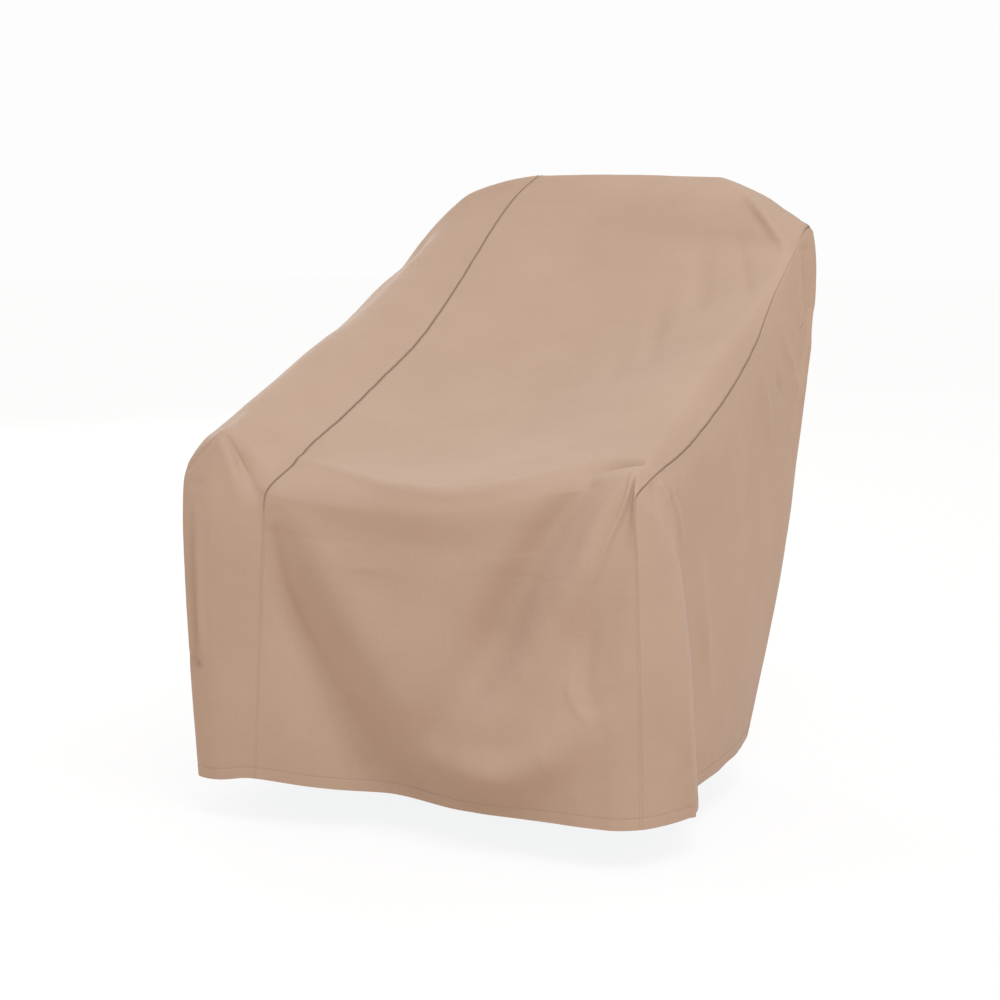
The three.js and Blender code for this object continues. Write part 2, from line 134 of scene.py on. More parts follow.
# How deep the seams are drawn in at some sections, as a share of their full depth. The shade painted along a
# seam is scaled by the same share.
SEAM_EASE = {0.0: 0.06, 0.6: 0.1, 0.95: 0.22, 1.01: 1.0, 2.05: 0.9, 3.0: 0.4}


def way_along(points: np.ndarray) -> np.ndarray:
    """Return the length of the way along some points to each of them."""
    return np.concatenate([[0.0], np.cumsum(np.linalg.norm(np.diff(points, axis=0), axis=1))])


def along_line(places: Sequence[float], way: np.ndarray, values: np.ndarray) -> np.ndarray:
    """Read values off a line.

    Args:
        places: Where to read, as lengths of way.
        way: The length of way to each point of the line.
        values: What holds at each point, one in each row.

    Returns:
        The values at the places, one in each row.
    """
    return np.stack([np.interp(places, way, column) for column in values.T], axis=1)


def unit(vectors: np.ndarray) -> np.ndarray:
    """Return some vectors, one in each row, at a length of one."""
    return vectors / np.linalg.norm(vectors, axis=1, keepdims=True)


class KnotCurve:
    """Smooth curves through points at given knots, which never swing past the points."""

    def __init__(self, knots: Sequence[float], points: np.ndarray) -> None:
        """Work out the slopes at the knots.

        Args:
            knots: The knots, in rising order.
            points: The points, with the knots along the first axis.
        """
        self.knots = np.asarray(knots, float)
        self.points = np.asarray(points, float)
        spans = np.diff(self.knots).reshape((-1,) + (1,) * (self.points.ndim - 1))
        rise = np.diff(self.points, axis=0) / spans
        before, after = spans[:-1], spans[1:]
        turns = rise[:-1] * rise[1:] <= 0
        first = np.where(turns, 1.0, rise[:-1])
        second = np.where(turns, 1.0, rise[1:])
        weighted = (2 * after + before) / first + (after + 2 * before) / second
        self.slopes = np.empty_like(self.points)
        self.slopes[1:-1] = np.where(turns, 0.0, 3 * (before + after) / weighted)
        self.slopes[0] = 1.5 * rise[0] - 0.5 * self.slopes[1]
        self.slopes[-1] = 1.5 * rise[-1] - 0.5 * self.slopes[-2]

    def at(self, places: np.ndarray | Sequence[float]) -> np.ndarray:
        """Find the points at some places.

        Args:
            places: The places, in the units of the knots.

        Returns:
            The points, with the places along the first axis.
        """
        places = np.asarray(places, float)
        i = np.clip(np.searchsorted(self.knots, places, side="right") - 1, 0, len(self.knots) - 2)
        shape = (-1,) + (1,) * (self.points.ndim - 1)
        span = (self.knots[i + 1] - self.knots[i]).reshape(shape)
        share = (places - self.knots[i]).reshape(shape) / span
        rest = 1 - share
        return (
            self.points[i] * (1 + 2 * share) * rest**2
            + self.slopes[i] * share * rest**2 * span
            + self.points[i + 1] * share**2 * (1 + 2 * rest)
            - self.slopes[i + 1] * share**2 * rest * span
        )


@dataclass(frozen=True)
class Fold:
    """A soft trough or ridge. width runs from start to end, and lift is spread evenly along the path."""

    name: str
    width: tuple[float, float]
    lift: tuple[float, ...]
    path: tuple[Place, ...]
    points_per_knot: int = 8

    def lift_at(self, points: np.ndarray) -> np.ndarray:
        """Find how far the fold moves the cloth outwards.

        Args:
            points: Places on the cloth, one in each row.

        Returns:
            The lift at each place, in millimetres.
        """
        path = np.array(self.path, float)
        if len(path) > 2:
            knots = way_along(path)
            path = KnotCurve(knots, path).at(np.linspace(0, knots[-1], self.points_per_knot * len(path)))
        steps = np.diff(path, axis=0)
        lengths = np.linalg.norm(steps, axis=1)
        passed = way_along(path)
        best = np.full(len(points), np.inf)
        place = np.zeros(len(points))
        for start, step, length, before in zip(path, steps, lengths, passed):
            share = np.clip((points - start) @ step / length**2, 0, 1)
            distance = np.linalg.norm(points - (start + share[:, None] * step), axis=1)
            nearer = distance < best
            best = np.where(nearer, distance, best)
            place = np.where(nearer, before + share * length, place)
        place = place / passed[-1]
        width = np.interp(place, [0, 1], self.width)
        lift = np.interp(place, np.linspace(0, 1, len(self.lift)), self.lift)
        return lift * np.exp(-((best / width) ** 2))


FOLDS = (
    Fold("left trough of the swag", (34, 84), (-4, -20, -32, -38),
         ((-270, -42, 490), (-212, -45, 330), (-140, -47, 195), (-70, -48, 70))),
    Fold("left roll of the swag", (36, 80), (4, 14, 18, 16),
         ((-205, -45, 490), (-95, -50, 330), (0, -50, 205), (90, -50, 120))),
    Fold("right trough of the swag", (26, 48), (-16, -16, -18, -12),
         ((262, -25, 588), (160, -52, 425), (100, -56, 295), (40, -51, 185))),
    Fold("right roll of the swag", (24, 50), (2, 12, 18, 14),
         ((325, -45, 540), (262, -58, 425), (200, -60, 305), (110, -56, 190))),
    Fold("lip of the pocket", (34, 38), (10, 26, 24, 6),
         ((45, -50, 138), (143, -60, 128), (222, -70, 160), (303, -72, 228))),
    Fold("hem drawn in under the pocket", (42, 36), (-6, -12, -4),
         ((-60, -48, 62), (80, -55, 60), (230, -70, 60))),
    Fold("hollow under the edge of the lap", (30, 30), (0, -3, -4, -4, -3, 0),
         ((-250, -40, 520), (-164, -50, 500), (-53, -54, 485), (40, -54, 478), (120, -52, 490),
          (200, -46, 525))),
    Fold("belly of the front", (56, 60), (0, 11, 14),
         ((-60, -52, 400), (10, -52, 330), (60, -52, 260))),
    Fold("bulge of the pocket", (46, 46), (11, 15, 10),
         ((150, -60, 200), (210, -65, 215), (255, -68, 265))),
    Fold("hollow above the pocket", (40, 40), (0, -5, -4),
         ((120, -56, 290), (180, -60, 330), (235, -60, 370))),
    Fold("hollow of the left shoulder", (30, 30), (-4, -10, -9, -3),
         ((-325, 772, 952), (-360, 745, 910), (-383, 712, 872), (-382, 640, 840))),
    Fold("swell of the rear right corner", (34, 38), (0, 5, 5, 3, 0),
         ((370, 765, 790), (370, 745, 735), (369, 722, 668), (367, 705, 600), (366, 690, 520))),
    Fold("near bank of the left trough", (11, 18), (0, 3, 5, 5, 4, 2),
         ((-290, -44, 440), (-272, -46, 385), (-252, -47, 330), (-224, -48, 275), (-186, -49, 208),
          (-142, -49, 130))),
    Fold("bottom of the left trough", (16, 28), (-5, -10, -14, -14, -11, -7),
         ((-266, -44, 470), (-256, -46, 395), (-232, -47, 330), (-202, -49, 272), (-162, -50, 202),
          (-114, -49, 115))),
    Fold("edge of the lap", (12, 12), (0, 3, 4, 4, 4, 3, 0),
         ((-324, 5, 608), (-252, 19, 584), (-164, 0, 574), (-53, -39, 563), (40, -48, 557),
          (101, -39, 564), (159, -24, 577), (213, 1, 594), (250, 22, 604))),
    Fold("dent at the right arm", (9, 18), (-8, -14, -13, -8, 0),
         ((336, 18, 611), (314, 17, 609), (290, 13, 604), (264, 5, 595), (238, -8, 585))),
    Fold("upper trough of the right swag", (15, 44), (0, -4, -9, -13, -14, -12, -6),
         ((306, 0, 600), (278, -14, 582), (246, -38, 548), (206, -50, 490), (176, -55, 426),
          (150, -57, 365), (104, -55, 280))),
    Fold("upper roll of the right swag", (14, 44), (4, 10, 14, 15, 13, 9, 4),
         ((334, -14, 594), (312, -34, 558), (290, -46, 506), (276, -52, 455), (252, -57, 398),
          (226, -59, 355), (193, -61, 302))),
    Fold("crease under the right arm", (4, 5), (3, 6.5, 6.5, 5, 1),
         ((340, -6, 606), (339, -28, 576), (330, -38, 541), (315, -46, 500), (299, -53, 445))),
    Fold("hollow beside the hooked crease", (12, 15), (0, -3, -5, -4),
         ((302, -54, 428), (290, -60, 366), (285, -66, 290), (302, -69, 254))),
    Fold("hooked crease of the swag", (6, 6), (0, 1, 2, 2.5),
         ((289, -57, 400), (270, -62, 341), (262, -66, 275), (290, -70, 232))),
    Fold("first tick of the pocket", (4, 4), (0, 2, 0),
         ((308, -67, 281), (320, -66, 287), (334, -66, 294))),
    Fold("second tick of the pocket", (5, 5), (0, 2, 0),
         ((140, -59, 224), (158, -61, 233), (176, -62, 241))),
    Fold("crease beside the left arm", (8, 15), (-7, -9, -5),
         ((-358, -14, 618), (-330, -22, 588), (-294, -35, 537))),
    Fold("edge above the crease of the left arm", (9, 12), (3, 4, 1),
         ((-348, 6, 622), (-312, -4, 596), (-272, -20, 565))),
    Fold("roll under the left arm", (9, 14), (2, 3, 2, 0),
         ((-367, -14, 619), (-346, -30, 590), (-332, -36, 560), (-322, -44, 490))),
    Fold("flat end of the left arm", (20, 20), (0, -5, -7, -8, -6, -3, 0),
         ((-384, 110, 656), (-386, 50, 640), (-388, 4, 625), (-402, -12, 610), (-416, -14, 593),
          (-428, -14, 574), (-436, -18, 545))),
    Fold("flat of the rear left slope", (28, 28), (0, -6, -7, -6, 0),
         ((-368, 770, 920), (-378, 700, 875), (-384, 610, 825), (-394, 523, 780), (-395, 420, 748))),
    Fold("flat of the right shoulder", (22, 22), (0, -5, 0),
         ((322, 806, 968), (340, 800, 948), (354, 792, 920))),
    Fold("bevel crease of the left arm", (6, 8), (-3, -5, -4),
         ((-374, -12, 622), (-399, -20, 596), (-428, -18, 564))),
    Fold("small crease of the left arm", (5, 5), (0, -3, 0),
         ((-413, -33, 532), (-400, -37, 544), (-385, -38, 554))),
    Fold("pleat of the left edge", (7, 8), (0, 4, 5, 5, 1),
         ((-399, -45, 520), (-393, -48, 400), (-388, -50, 270), (-386, -50, 235))),
    Fold("hollow behind the pleat", (8, 10), (0, -6, -8, -9, -2),
         ((-416, -36, 520), (-410, -40, 400), (-406, -41, 270), (-404, -42, 230))),
    Fold("notch under the pleat", (6, 6), (-4, -8, -4),
         ((-424, -28, 262), (-408, -41, 252), (-392, -48, 248))),
    Fold("short crease of the front", (8, 8), (0, 2, 0),
         ((-130, -51, 436), (-95, -52, 431), (-55, -53, 437))),
    Fold("pucker of the front hem", (6, 7), (0, -4, -3),
         ((-132, -49, 140), (-114, -49, 106), (-106, -50, 84))),
    Fold("fold at the right shoulder", (9, 11), (2, 9, 8, 4),
         ((246, 770, 982), (290, 744, 945), (314, 730, 921), (338, 716, 898))),
    Fold("hollow behind the shoulder fold", (24, 20), (-8, -5),
         ((304, 784, 953), (346, 748, 905))),
    Fold("wrinkle in the back rest", (11, 13), (0, -8, -7, -2),
         ((150, 600, 802), (178, 500, 760), (209, 382, 719))),
    Fold("wrinkle beside the shoulder", (17, 21), (0, -9, -7, 0),
         ((178, 732, 920), (205, 640, 850), (238, 535, 788))),
    Fold("wrinkle under the shoulder", (11, 13), (0, -8, -6, 0),
         ((245, 727, 918), (282, 650, 862), (322, 570, 816))),
    Fold("small wrinkle of the lap", (12, 12), (0, -5, 0),
         ((117, 484, 731), (166, 335, 689))),
    Fold("upper streak of the right side", (9, 13), (0, 5, 5, 0),
         ((350, 728, 893), (360, 728, 800), (365, 732, 700))),
    Fold("hollow at the rear right corner", (12, 14), (-4, -5, -2, 0),
         ((357, 760, 888), (364, 752, 800), (368, 742, 735))),
    Fold("middle streak of the right side", (10, 16), (0, 6, 0),
         ((345, 590, 812), (364, 640, 725), (366, 717, 635))),
    Fold("hollow under the middle streak", (9, 11), (0, -5, 0),
         ((362, 560, 715), (366, 600, 672), (367, 640, 635))),
    Fold("lower streak of the right side", (12, 18), (0, 5, 4, 0),
         ((363, 498, 714), (368, 520, 650), (369, 545, 560))),
    Fold("front fold of the right side", (16, 22), (0, 7, 0),
         ((368, 200, 470), (371, 221, 305), (372, 256, 170))),
    Fold("hollow of the right side", (22, 38), (0, -7, 0),
         ((368, 440, 600), (370, 437, 520), (372, 420, 360))),
    Fold("small hollow behind the right corner", (5, 6), (0, -3, 0),
         ((364, 52, 576), (366, 72, 550), (370, 84, 522))),
    Fold("short crease behind the right corner", (8, 10), (0, 4, 0),
         ((364, 62, 574), (365, 105, 514), (367, 138, 460))),
    Fold("crease of the right corner", (6, 8), (3, 5, 6, 6, 6),
         ((363, 34, 576), (372, 42, 528), (385, 35, 455), (395, 29, 380), (405, 33, 271), (413, 50, 64))),
    Fold("hollow beside the right corner", (13, 20), (-5, -7, -6, -4),
         ((358, 10, 572), (366, 6, 500), (378, 2, 380), (392, -2, 180))),
    Fold("front fold of the left side", (34, 55), (0, 8, 10),
         ((-447, 150, 560), (-446, 170, 330), (-440, 180, 90))),
    Fold("hollow of the left side", (40, 55), (0, -9, -10),
         ((-446, 300, 600), (-447, 290, 380), (-440, 270, 100))),
    Fold("rear fold of the left side", (36, 60), (0, 9, 8),
         ((-440, 470, 690), (-442, 430, 420), (-432, 390, 90))),
    Fold("left fold of the back", (34, 60), (0, 9, 12),
         ((-90, 842, 860), (-110, 735, 450), (-120, 602, 80))),
    Fold("hollow of the back", (38, 60), (0, -8, -12),
         ((30, 843, 870), (40, 734, 450), (60, 604, 80))),
    Fold("right fold of the back", (30, 55), (0, 8, 10),
         ((170, 840, 880), (190, 733, 450), (180, 603, 80))),
    Fold("slack fold under the left arm", (14, 26), (0, 6, 5, 0),
         ((-440, 250, 670), (-446, 320, 490), (-446, 350, 310))),
    Fold("crease under the rear left shoulder", (16, 26), (0, 6, 6, 0),
         ((-428, 600, 730), (-434, 560, 620), (-440, 505, 430))),
    Fold("hollow beside the rear crease", (16, 26), (0, -6, -6, 0),
         ((-434, 552, 705), (-441, 512, 610), (-444, 455, 430))),
    Fold("short tuck of the left side", (11, 15), (0, -5, -3, 0),
         ((-440, 80, 590), (-446, 108, 480), (-446, 130, 370))),
    Fold("swell of the left hem", (22, 30), (0, 5, 8),
         ((-446, 345, 290), (-443, 340, 190), (-438, 330, 80))),
    Fold("left crease of the back", (12, 24), (0, -7, -6, 0),
         ((-262, 832, 905), (-232, 800, 700), (-216, 738, 470))),
    Fold("right crease of the back", (12, 24), (0, 7, 6, 0),
         ((296, 828, 890), (266, 795, 690), (250, 733, 460))),
    Fold("slack of the back", (15, 28), (0, -6, -7, 0),
         ((-50, 790, 640), (4, 742, 470), (30, 690, 300))),
    Fold("tuck of the back", (12, 24), (0, 6, 6, 0),
         ((84, 812, 735), (112, 752, 510), (122, 700, 330))),
)


@dataclass(frozen=True)
class GridLines:
    """The lines of a grid: some stops, and how many even steps lead from each stop to the next."""

    stops: tuple[float, ...]
    steps: tuple[int, ...]

    def places(self) -> np.ndarray:
        """Return the places of all the lines, in rising order."""
        runs = zip(self.stops, self.stops[1:], self.steps)
        lines = [np.linspace(start, end, count, endpoint=False) for start, end, count in runs]
        return np.append(np.concatenate(lines), self.stops[-1])


FRONT_LINES = GridLines((0.0, 0.048, 0.72, 1.0), (14, 46, 60))
TOP_LINES = GridLines((0.0, 0.12, 0.85, 1.0), (42, 66, 36))
CENTRE_LINES = GridLines((-270.0, -264.0, -200.0, 190.0, 344.0, 350.0), (6, 13, 42, 50, 6))
LEFT_LINES = GridLines((-560.0, -480.0, -276.0, -270.0), (10, 34, 6))
RIGHT_LINES = GridLines((350.0, 356.0, 398.0, 422.0, 500.0), (6, 12, 16, 16))


def walk(places: np.ndarray, axis: int) -> np.ndarray:
    """Measure the way along each grid line from its start.

    Args:
        places: The places of a grid, with the rows along the first axis and the columns along the second.
        axis: The axis to walk along.

    Returns:
        The length of the way to each place.
    """
    steps = np.linalg.norm(np.diff(places, axis=axis), axis=2)
    start = np.zeros_like(steps[:1]) if axis == 0 else np.zeros_like(steps[:, :1])
    return np.concatenate([start, np.cumsum(steps, axis=axis)], axis=axis)


@dataclass
class Patch:
    """A grid of cloth, with its rows from the hem up and its columns from the left, seen from outside.

    seam and hem are the distances to them in millimetres, and ease says how deep a seam is drawn in and how
    dark the shade painted along it is.
    cloth is the measure across and along the cloth in metres.
    """

    panel: Panel
    places: np.ndarray
    seam: np.ndarray
    hem: np.ndarray
    ease: np.ndarray
    cloth: np.ndarray = field(init=False)
    normals: np.ndarray = field(init=False)

    def __post_init__(self) -> None:
        """Measure the cloth before it is folded."""
        self.cloth = np.stack([walk(self.places, 1), walk(self.places, 0)], axis=2) * MM
        self.normals = np.zeros_like(self.places)

    def face_sums(self) -> np.ndarray:
        """Return for each place the sum of the normals of the faces around it."""
        p = self.places
        faces = np.cross(p[1:, 1:] - p[:-1, :-1], p[1:, :-1] - p[:-1, 1:])
        sums = np.zeros_like(p)
        for rows in (slice(None, -1), slice(1, None)):
            for columns in (slice(None, -1), slice(1, None)):
                sums[rows, columns] += faces
        return sums


class Lie:
    """How the cloth lies before it is folded: a strip for each panel, and a wall for each side."""

    def __init__(self) -> None:
        """Draw the rails through the sections."""
        self.rails = KnotCurve(list(SECTIONS), np.array(list(SECTIONS.values()), float))
        self.front = FRONT_LINES.places()
        self.top = TOP_LINES.places()
        self.rows = np.concatenate([self.front[:-1], 1 + self.top[:-1], 3 - self.front[::-1]])

    def patches(self) -> list[Patch]:
        """Lay all the cloth of the cover."""
        return [
            self.strip(Panel.CENTRE, CENTRE_LINES),
            self.strip(Panel.LEFT, LEFT_LINES),
            self.wall(Panel.LEFT, Rail.LEFT_WALL, LEFT_HEM),
            self.strip(Panel.RIGHT, RIGHT_LINES),
            self.wall(Panel.RIGHT, Rail.RIGHT_WALL, RIGHT_HEM),
        ]

    def strip(self, panel: Panel, columns: GridLines) -> Patch:
        """Lay a strip of cloth from the front hem over the top to the rear hem.

        Args:
            panel: The panel that the strip belongs to.
            columns: The grid lines along it, from left to right.

        Returns:
            The strip.
        """
        across = columns.places()
        sections = KnotCurve([rail.value for rail in Rail], np.swapaxes(self.rails.at(self.rows), 0, 1))
        places = np.swapaxes(sections.at(across), 0, 1)
        from_front = walk(places, 0)
        hem = np.minimum(from_front, from_front[-1] - from_front)
        from_seams = [np.abs(across - rail.value) for rail in (Rail.LEFT_SEAM, Rail.RIGHT_SEAM)]
        depth = np.interp(self.rows, list(SEAM_EASE), list(SEAM_EASE.values()))
        seam = np.broadcast_to(np.minimum(*from_seams), hem.shape)
        ease = np.broadcast_to(depth[:, None], hem.shape)
        return Patch(panel, places, seam, hem, ease)

    def wall(self, panel: Panel, rail: Rail, hem_places: Sequence[Place]) -> Patch:
        """Lay the flat part of a side inside the frame of its rail and its hem.

        Args:
            panel: The panel that the wall belongs to.
            rail: The rail round the front, top and rear of the wall.
            hem_places: Places between the corners through which the hem passes.

        Returns:
            The wall. Each point blends the four edges around it. It is then slid along its column, so that
            the rows are spaced as they are at the two ends.
        """
        curve = KnotCurve(self.rails.knots, self.rails.points[:, list(Rail).index(rail)])
        hem_points = np.vstack([curve.at([0.0]), np.array(hem_places, float), curve.at([3.0])])
        hem_curve = KnotCurve(np.linspace(0, 1, len(hem_points)), hem_points)
        up, back = self.front[:, None, None], self.top[None, :, None]
        front, rear = curve.at(self.front)[:, None], curve.at(3 - self.front)[:, None]
        top, bottom = curve.at(1 + self.top)[None], hem_curve.at(self.top)[None]
        places = (
            top * up + bottom * (1 - up) + front * (1 - back) + rear * back
            - (front[-1] * (1 - back) + rear[-1] * back) * up
            - (front[0] * (1 - back) + rear[0] * back) * (1 - up)
        )
        way = walk(places, 0)
        share = way / way[-1]
        wanted = (share[:, :1] * (1 - self.top) + share[:, -1:] * self.top) * way[-1]
        for column in range(1, len(self.top) - 1):
            places[:, column] = along_line(wanted[:, column], way[:, column], places[:, column])
        if panel is Panel.LEFT:
            places = places[:, ::-1]
        hem = walk(places, 0)
        return Patch(panel, places, np.full(hem.shape, NO_SEAM), hem, np.zeros(hem.shape))


@dataclass
class Drape:
    """The relief that the cloth gets from its folds, wrinkles, seams and hem. Sizes are millimetres.

    A seam's puckers are quick waves that come in groups, and slow waves that go on all the way.
    """

    seam_depth: float = 2.3
    seam_half_width: float = 2.4
    roll: float = 0.5
    roll_place: float = 5.5
    roll_width: float = 3.0
    pucker: float = 0.55
    pucker_reach: float = 9.0
    quick_pucker: float = 6.3
    pucker_group: float = 23.0
    slow_pucker: float = 11.7
    slow_start: float = 1.3
    slow_share: float = 0.6
    hem_step: float = 0.25
    hem_line: float = 0.25
    hem_edge: float = 2.0
    hem_wave: float = 1.6
    wave_length: float = 48.0
    wave_level: float = 7.0
    wave_reach: float = 38.0
    wrinkle: float = 0.6
    wrinkle_size: float = 85.0
    crinkle: float = 0.25
    crinkle_size: float = 27.0
    gap: float = 0.12
    least_gap: float = 0.04
    at_seam: float = 0.001

    def apply(self, patches: list[Patch]) -> None:
        """Fold the patches of the whole cover, which stay together at their shared edges.

        Args:
            patches: The patches as they are laid.
        """
        self.find_normals(patches)
        for patch in patches:
            points = patch.places.reshape(-1, 3)
            lift = sum(fold.lift_at(points) for fold in FOLDS) + self.wrinkles(points)
            lift = lift.reshape(patch.seam.shape) + self.seam_relief(patch) + self.hem_relief(patch)
            patch.places = patch.places + patch.normals * lift[:, :, None]
        self.find_normals(patches)
        for patch in patches:
            self.part_seams(patch)

    def find_normals(self, patches: list[Patch]) -> None:
        """Work out the normals of the patches, shared wherever places of the patches meet."""
        places = np.vstack([patch.places.reshape(-1, 3) for patch in patches])
        sums = np.vstack([patch.face_sums().reshape(-1, 3) for patch in patches])
        _, shared = np.unique(np.round(places, 3), axis=0, return_inverse=True)
        joined = np.zeros((shared.max() + 1, 3))
        np.add.at(joined, shared.ravel(), sums)
        normals = unit(joined[shared.ravel()])
        start = 0
        for patch in patches:
            count = patch.seam.size
            patch.normals = normals[start:start + count].reshape(patch.places.shape)
            start += count

    def wrinkles(self, points: np.ndarray) -> np.ndarray:
        """Return the small uneven relief of the cloth at some points."""
        broad, fine = 1 / self.wrinkle_size, 1 / self.crinkle_size
        return np.array([
            self.wrinkle * noise.noise(Vector(p) * broad) + self.crinkle * noise.noise(Vector(p) * fine)
            for p in points
        ])

    def seam_relief(self, patch: Patch) -> np.ndarray:
        """Return the groove of a seam, the roll of its allowance and its puckers."""
        groove = -self.seam_depth * np.clip(1 - patch.seam / self.seam_half_width, 0, 1)
        roll = self.roll * np.exp(-(((patch.seam - self.roll_place) / self.roll_width) ** 2))
        way = patch.cloth[:, :, 1] / MM
        quick = np.sin(way / self.quick_pucker) * np.sin(way / self.pucker_group)
        slow = self.slow_share * np.sin(way / self.slow_pucker + self.slow_start)
        puckers = self.pucker * (quick + slow) * np.exp(-((patch.seam / self.pucker_reach) ** 2))
        return (groove + roll + puckers) * patch.ease

    def hem_relief(self, patch: Patch) -> np.ndarray:
        """Return the doubled band of the hem, the line of its stitching and its slight wave."""
        under = (HEM_BAND - patch.hem) / self.hem_edge
        step = self.hem_step * np.clip(under, 0, 1)
        line = -self.hem_line * np.exp(-(under**2))
        sway = np.array([
            noise.noise(Vector((x, y, self.wave_level)) / self.wave_length)
            for x, y, _ in patch.places.reshape(-1, 3)
        ])
        wave = self.hem_wave * sway.reshape(patch.hem.shape) * np.exp(-patch.hem / self.wave_reach)
        return step + line + wave

    def part_seams(self, patch: Patch) -> None:
        """Set the edges of a strip back from its seams, so that the panels stay clear of each other."""
        for column, inner in ((0, 1), (-1, -2)):
            if patch.seam[:, column].max() > self.at_seam:
                continue
            run = np.gradient(patch.places[:, column], axis=0)
            inward = unit(np.cross(run, patch.normals[:, column]))
            towards = patch.places[:, inner] - patch.places[:, column]
            inward *= np.sign(np.sum(inward * towards, axis=1, keepdims=True))
            lean = np.sum(towards * patch.normals[:, column], axis=1) / np.linalg.norm(towards, axis=1)
            corner = THICKNESS / 2 * np.clip(lean, 0, 1)
            back = self.gap * patch.ease[:, column] + self.least_gap + corner
            patch.places[:, column] += inward * back[:, None]


@dataclass(frozen=True)
class ClothFinish:
    """Matte woven polyester. Distances are in metres, and threads is their number to the metre.

    Soft clouds, slubs and threads take the colour from base to light. The groove of a seam and the crease
    of the hem take it to shade. That is painted shade: the cloth is darkened where the groove and the crease
    lie in shadow.
    """

    name: str
    base: Colour
    light: Colour
    shade: Colour
    roughness: float
    sheen: float
    weave_strength: float
    weave_distance: float = 0.0004
    threads: float = 1150.0
    clouds: tuple[float, float] = (0.1, 0.4)
    slubs: tuple[float, float] = (0.0, 0.12)
    thread_share: float = 0.18
    slub_height: float = 0.3
    # How strongly and how wide painted shade darkens the seam grooves and the hem's crease.
    groove_shade_share: float = 0.8
    crease_shade_share: float = 0.06
    crease_shade_width: tuple[float, float] = (0.3, 2.6)
    smoother: float = 0.05
    rougher: float = 0.07
    wrinkle_strength: float = 0.55
    wrinkle_distance: float = 0.004
    sheen_roughness: float = 0.45
    specular: float = 0.3


@dataclass(frozen=True)
class ThreadFinish:
    """Polyester sewing thread, with the light and dark of its twist. bump_distance is in metres."""

    name: str
    base: Colour
    dark: Colour
    roughness: tuple[float, float]
    bump_strength: float
    bump_distance: float


OUTSIDE = ClothFinish(
    "cloth outside", (0.465, 0.323, 0.242, 1), (0.53, 0.381, 0.293, 1), (0.20, 0.13, 0.09, 1),
    roughness=0.74, sheen=0.10, weave_strength=0.22,
)
INSIDE = ClothFinish(
    "cloth inside", (0.44, 0.335, 0.265, 1), (0.50, 0.39, 0.315, 1), (0.24, 0.17, 0.125, 1),
    roughness=0.60, sheen=0.0, weave_strength=0.08,
)
THREAD = ThreadFinish(
    "sewing thread", (0.44, 0.305, 0.228, 1), (0.35, 0.24, 0.175, 1), (0.55, 0.75), 0.3, 0.0002
)

# The ranges of a noise texture's values that make a soft and a sharper change.
SOFT_RANGE = (0.3, 0.7)
SHARP_RANGE = (0.35, 0.65)


class NodeSheet:
    """A node tree with short ways to add nodes and join them."""

    def __init__(self, tree: bpy.types.NodeTree) -> None:
        """Take over a tree and clear it."""
        self.tree = tree
        tree.nodes.clear()

    def add(self, kind: str, inputs: Inputs | None = None, **settings: object) -> bpy.types.Node:
        """Add a node.

        Args:
            kind: The node's type.
            inputs: What each input gets, another node's output or a value, by the input's name or number.
            **settings: The node's properties.

        Returns:
            The new node.
        """
        node = self.tree.nodes.new(kind)
        for name, value in settings.items():
            setattr(node, name, value)
        for key, value in (inputs or {}).items():
            if isinstance(value, Socket):
                self.tree.links.new(value, node.inputs[key])
            else:
                node.inputs[key].default_value = value
        return node

    def math(self, operation: str, *values: object) -> Socket:
        """Add a Math node on some values and return its output."""
        return self.add("ShaderNodeMath", dict(enumerate(values)), operation=operation).outputs[0]

    def blend(self, share: object, first: object, second: object) -> Socket:
        """Mix two numbers and return the output."""
        return self.add("ShaderNodeMix", {0: share, 2: first, 3: second}, data_type="FLOAT").outputs[0]

    def tint(self, share: object, first: object, second: object) -> Socket:
        """Mix two colours and return the output."""
        return self.add("ShaderNodeMix", {0: share, 6: first, 7: second}, data_type="RGBA").outputs[2]

    def spread(self, value: object, start: tuple[float, float], end: tuple[float, float]) -> Socket:
        """Map a range of values smoothly to another range and return the output."""
        inputs = dict(enumerate((value, *start, *end)))
        return self.add("ShaderNodeMapRange", inputs, interpolation_type="SMOOTHSTEP").outputs[0]

    def noise(self, vector: object, scale: float, detail: float, roughness: float = 0.5) -> Socket:
        """Add a noise texture on a vector and return its value."""
        inputs = {"Vector": vector, "Scale": scale, "Detail": detail, "Roughness": roughness}
        return self.add("ShaderNodeTexNoise", inputs).outputs[0]

    def stretch(self, vector: object, scale: Place) -> Socket:
        """Scale a vector along its axes and return it."""
        return self.add("ShaderNodeMapping", {"Vector": vector, "Scale": scale}).outputs[0]

    def bump(self, height: object, strength: float, distance: float, **under: Socket) -> Socket:
        """Add a bump, on the Normal of another one if that is given, and return its normal."""
        inputs = {"Height": height, "Strength": strength, "Distance": distance, **under}
        return self.add("ShaderNodeBump", inputs).outputs[0]


def new_material(name: str) -> tuple[bpy.types.Material, NodeSheet]:
    """Make a material and return it with its empty sheet of nodes."""
    material = bpy.data.materials.new(name)
    material.use_nodes = True
    return material, NodeSheet(material.node_tree)


def new_group(
    name: str, inputs: dict[str, str], outputs: Sequence[str]
) -> tuple[NodeSheet, bpy.types.bpy_prop_collection]:
    """Make a shader node group that has no nodes but its inputs.

    Args:
        name: The group's name.
        inputs: The type of each input, by its name.
        outputs: The names of the outputs, which are all numbers.

    Returns:
        The group's sheet of nodes, and the sockets that give its inputs.
    """
    group = bpy.data.node_groups.new(name, "ShaderNodeTree")
    for socket, kind in inputs.items():
        group.interface.new_socket(socket, in_out="INPUT", socket_type=kind)
    for socket in outputs:
        group.interface.new_socket(socket, in_out="OUTPUT", socket_type="NodeSocketFloat")
    sheet = NodeSheet(group)
    return sheet, sheet.add("NodeGroupInput").outputs


